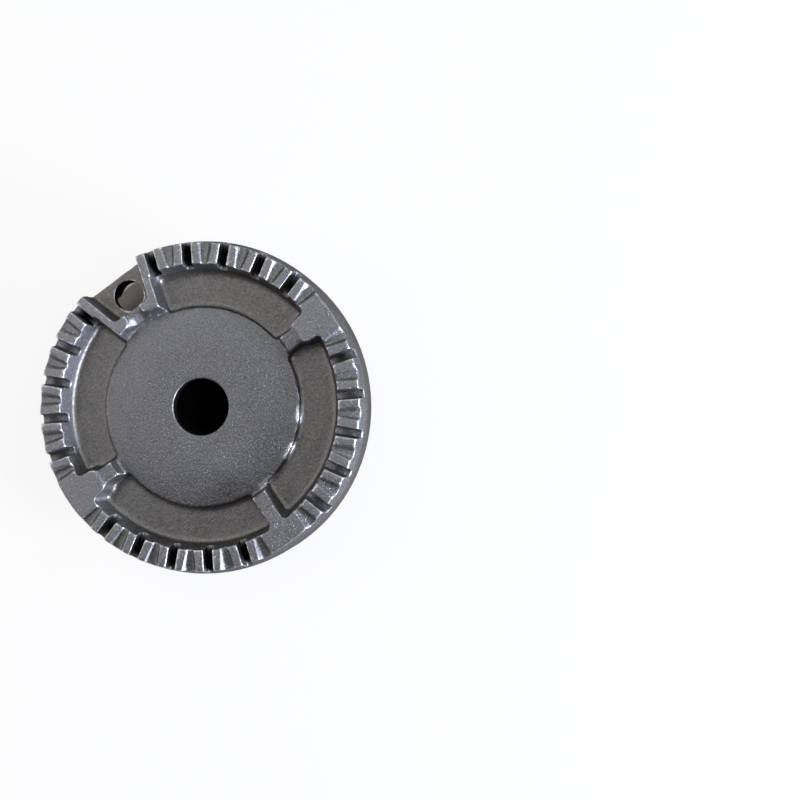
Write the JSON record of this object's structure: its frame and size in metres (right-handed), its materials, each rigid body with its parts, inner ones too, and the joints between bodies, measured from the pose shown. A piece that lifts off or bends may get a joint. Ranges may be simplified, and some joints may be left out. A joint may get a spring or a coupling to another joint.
{
  "type": "gas burner cap",
  "caption": "Round die-cast gas burner cap: a crown of flame ports around gas channels and a domed disc, an igniter pocket, and a hub with a bore below.",
  "frame": {"origin": "on the bore axis, at the lower end of the hub", "axes": "+Z along the bore axis, from the hub up to the flame ports; +Y from the bore towards the igniter pocket"},
  "size_m": [0.0742, 0.074, 0.0204],
  "materials": {
    "cast_aluminium": "bead-blasted die casting, worn brighter at the edges"
  },
  "bodies": {
    "root": {"burner_cap": "cast_aluminium"}
  },
  "joints": []
}
